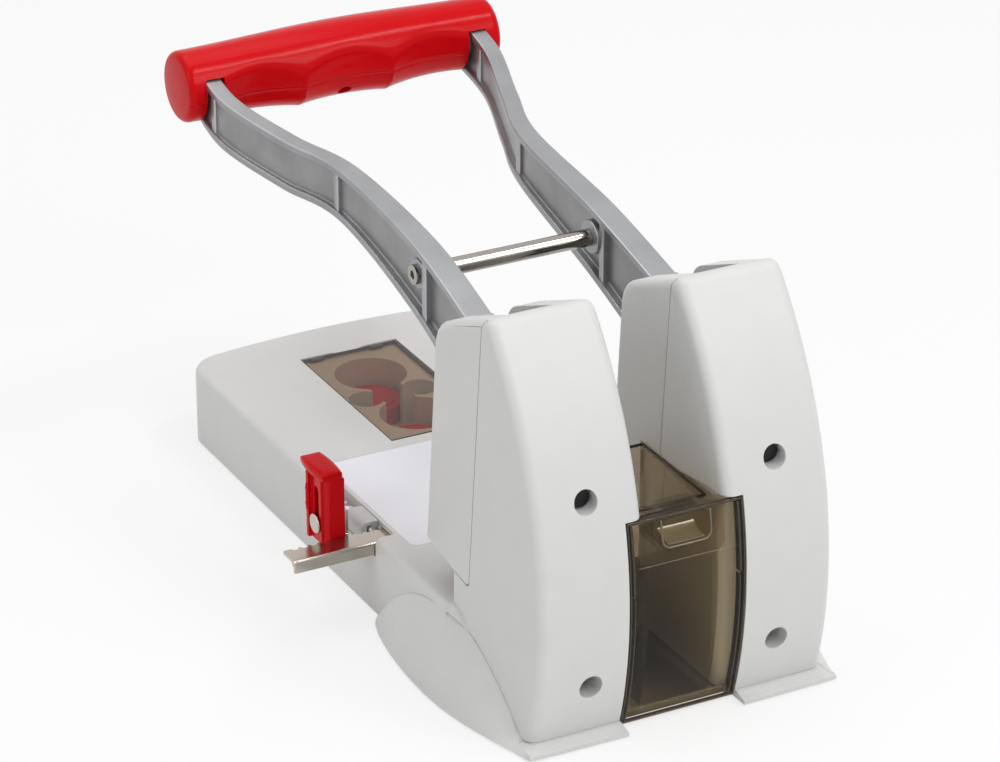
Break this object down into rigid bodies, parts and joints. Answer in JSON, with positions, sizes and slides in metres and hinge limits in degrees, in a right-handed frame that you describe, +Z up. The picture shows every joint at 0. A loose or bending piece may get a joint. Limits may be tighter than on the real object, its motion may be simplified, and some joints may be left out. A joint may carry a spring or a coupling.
{
  "type": "heavy duty hole punch",
  "caption": "Heavy duty two-hole paper punch: long lever with a red grip, two towers, smoke chip tray, disc store and a sliding paper stop.",
  "frame": {"origin": "middle of the anti-slip mat, on the surface the punch stands on", "axes": "+Z up, +Y to the rear where the towers stand, +X to the right of the person who presses the lever"},
  "size_m": [0.1794, 0.3188, 0.1813],
  "materials": {
    "housing": "fine satin texture, light grey",
    "red_plastic": "smooth, half gloss",
    "red_grip": "smooth, half gloss, moulded in two shells",
    "smoke_plastic": "clear smoke brown, polished",
    "silver_paint": "satin silver on a die casting",
    "bright_chrome": "polished",
    "nickel_steel": "nickel plated, half gloss",
    "plated_steel": "zinc plated",
    "dark_steel": "dark phosphated",
    "black_oxide": "black oxide",
    "rubber": "matt, fine ribs",
    "white_plate": "smooth, bare",
    "grey_plastic": "satin"
  },
  "bodies": {
    "base": {"base_shell": "housing", "base_plate": "plated_steel", "anti_slip_mat": "rubber", "base_screws": "black_oxide", "table_plate": "white_plate", "spare_cutting_discs": "red_plastic", "tower_rear_cover_left": "housing", "tower_rear_cover_right": "housing", "tower_front_cover_left": "housing", "tower_front_cover_right": "housing", "cover_screws": "black_oxide", "punch_frame_left": "dark_steel", "punch_frame_right": "dark_steel", "pivot_shaft_left": "plated_steel", "pivot_shaft_right": "plated_steel", "cutting_disc_left": "red_plastic", "cutting_disc_right": "red_plastic", "rail_guide": "grey_plastic", "detent_spring": "plated_steel"},
    "lever": {"lever_arm_left": "silver_paint", "press_roller_left": "plated_steel", "roller_pin_left": "plated_steel", "lever_arm_right": "silver_paint", "press_roller_right": "plated_steel", "roller_pin_right": "plated_steel", "tie_rod": "bright_chrome", "tie_rod_screws": "bright_chrome", "grip_upper": "red_grip", "grip_lower": "red_grip", "grip_core": "dark_steel", "grip_screw": "black_oxide"},
    "left_punch": {"hollow_punch_left": "plated_steel", "punch_ram_left": "dark_steel", "return_spring_left": "plated_steel"},
    "right_punch": {"hollow_punch_right": "plated_steel", "punch_ram_right": "dark_steel", "return_spring_right": "plated_steel"},
    "tray": {"chip_tray": "smoke_plastic"},
    "lid": {"storage_lid": "smoke_plastic"},
    "rail": {"stop_rail": "nickel_steel", "flag_rivet": "nickel_steel"},
    "stop": {"stop_flag": "red_plastic"}
  },
  "joints": [
    {"name": "lever_hinge", "type": "hinge", "parent": "base", "child": "lever", "pos_m": [0, 0.121, 0.106], "axis": [1, 0, 0], "range_deg": [0, 22], "stiffness_Nm_per_rad": 4, "springref_deg": -34.38},
    {"name": "left_punch_slide", "type": "slide", "parent": "base", "child": "left_punch", "axis": [0, 0, -1], "range_m": [0, 0.018], "deforming": ["return_spring_left"]},
    {"name": "right_punch_slide", "type": "slide", "parent": "base", "child": "right_punch", "axis": [0, 0, -1], "range_m": [0, 0.018], "deforming": ["return_spring_right"]},
    {"name": "tray_slide", "type": "slide", "parent": "base", "child": "tray", "axis": [0, 1, 0], "range_m": [0, 0.075]},
    {"name": "lid_hinge", "type": "hinge", "parent": "base", "child": "lid", "pos_m": [0, -0.0495, 0.0327], "axis": [-1, 0, 0], "range_deg": [0, 95]},
    {"name": "rail_slide", "type": "slide", "parent": "base", "child": "rail", "axis": [1, 0, 0], "range_m": [0, 0.085]},
    {"name": "stop_lift", "type": "slide", "parent": "rail", "child": "stop", "axis": [0, 0, -1], "range_m": [0, 0.014]}
  ],
  "couplings": [
    {"joint": "left_punch_slide", "follows": "lever_hinge", "m_per_rad": 0.046},
    {"joint": "right_punch_slide", "follows": "lever_hinge", "m_per_rad": 0.046}
  ]
}
